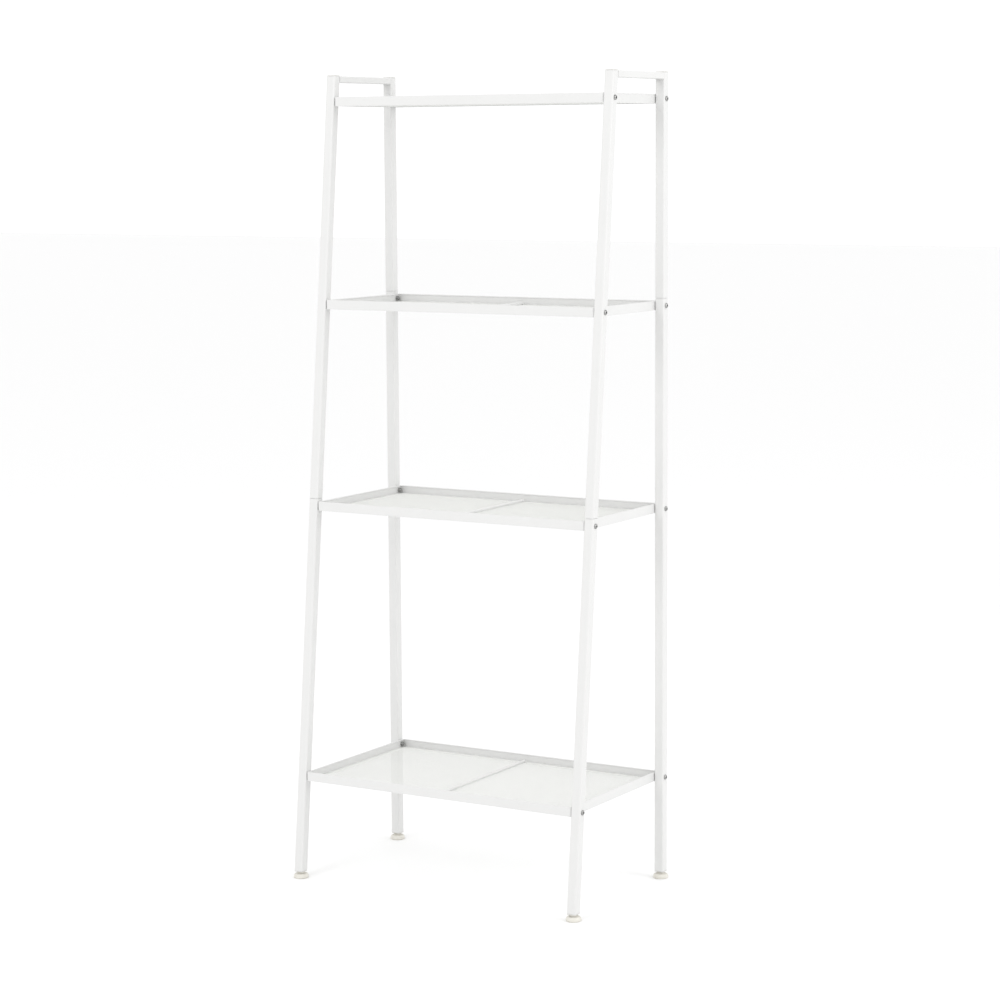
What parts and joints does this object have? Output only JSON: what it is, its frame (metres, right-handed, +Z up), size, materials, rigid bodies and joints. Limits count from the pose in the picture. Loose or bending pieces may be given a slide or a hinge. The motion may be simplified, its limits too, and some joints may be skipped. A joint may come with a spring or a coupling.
{
  "type": "ladder shelf",
  "caption": "Free-standing ladder shelf: square-tube side frames with upright rear and leaning front legs, mesh trays of falling depth between them, and levelling feet.",
  "frame": {"origin": "on the floor, midway between the side frames in width, and midway between the front and rear legs' axes, where their tubes end above the feet, in depth", "axes": "+X to the right seen from the front, +Y to the rear, +Z up; the front of the rack faces -Y"},
  "size_m": [0.61, 0.3574, 1.48],
  "materials": {
    "powder_coat": "white powder coat, satin, fine orange peel",
    "mesh_coat": "white powder coat on fine wire mesh",
    "zinc": "bright zinc plate",
    "white_plastic": "moulded, fine matt grain"
  },
  "bodies": {
    "root": {"upper_front_tube_left": "powder_coat", "lower_front_leg_left": "powder_coat", "upper_rear_tube_left": "powder_coat", "lower_rear_leg_left": "powder_coat", "top_rail_left": "powder_coat", "front_spigot_left": "powder_coat", "rear_spigot_left": "powder_coat", "front_top_cap_left": "white_plastic", "rear_top_cap_left": "white_plastic", "front_foot_insert_left": "white_plastic", "rear_foot_insert_left": "white_plastic", "upper_front_tube_right": "powder_coat", "lower_front_leg_right": "powder_coat", "upper_rear_tube_right": "powder_coat", "lower_rear_leg_right": "powder_coat", "top_rail_right": "powder_coat", "front_spigot_right": "powder_coat", "rear_spigot_right": "powder_coat", "front_top_cap_right": "white_plastic", "rear_top_cap_right": "white_plastic", "front_foot_insert_right": "white_plastic", "rear_foot_insert_right": "white_plastic", "shelf_1_rim": "powder_coat", "shelf_1_mesh": "mesh_coat", "shelf_1_crossbar": "powder_coat", "shelf_1_bolt_front_left": "zinc", "shelf_1_bolt_front_right": "zinc", "shelf_1_bolt_rear_left": "zinc", "shelf_1_bolt_rear_right": "zinc", "shelf_2_rim": "powder_coat", "shelf_2_mesh": "mesh_coat", "shelf_2_crossbar": "powder_coat", "shelf_2_bolt_front_left": "zinc", "shelf_2_bolt_front_right": "zinc", "shelf_2_bolt_rear_left": "zinc", "shelf_2_bolt_rear_right": "zinc", "shelf_3_rim": "powder_coat", "shelf_3_mesh": "mesh_coat", "shelf_3_crossbar": "powder_coat", "shelf_3_bolt_front_left": "zinc", "shelf_3_bolt_front_right": "zinc", "shelf_3_bolt_rear_left": "zinc", "shelf_3_bolt_rear_right": "zinc", "shelf_4_rim": "powder_coat", "shelf_4_mesh": "mesh_coat", "shelf_4_crossbar": "powder_coat", "shelf_4_bolt_front_left": "zinc", "shelf_4_bolt_front_right": "zinc", "shelf_4_bolt_rear_left": "zinc", "shelf_4_bolt_rear_right": "zinc"},
    "foot_front_left": {"foot_pad_front_left": "white_plastic", "foot_stud_front_left": "zinc"},
    "foot_front_right": {"foot_pad_front_right": "white_plastic", "foot_stud_front_right": "zinc"},
    "foot_rear_left": {"foot_pad_rear_left": "white_plastic", "foot_stud_rear_left": "zinc"},
    "foot_rear_right": {"foot_pad_rear_right": "white_plastic", "foot_stud_rear_right": "zinc"}
  },
  "joints": [
    {"name": "foot_front_left_screw", "type": "slide", "parent": "root", "child": "foot_front_left", "axis": [0, 0, -1], "range_m": [-0.001, 0.012]},
    {"name": "foot_front_right_screw", "type": "slide", "parent": "root", "child": "foot_front_right", "axis": [0, 0, -1], "range_m": [-0.001, 0.012]},
    {"name": "foot_rear_left_screw", "type": "slide", "parent": "root", "child": "foot_rear_left", "axis": [0, 0, -1], "range_m": [-0.001, 0.012]},
    {"name": "foot_rear_right_screw", "type": "slide", "parent": "root", "child": "foot_rear_right", "axis": [0, 0, -1], "range_m": [-0.001, 0.012]}
  ]
}
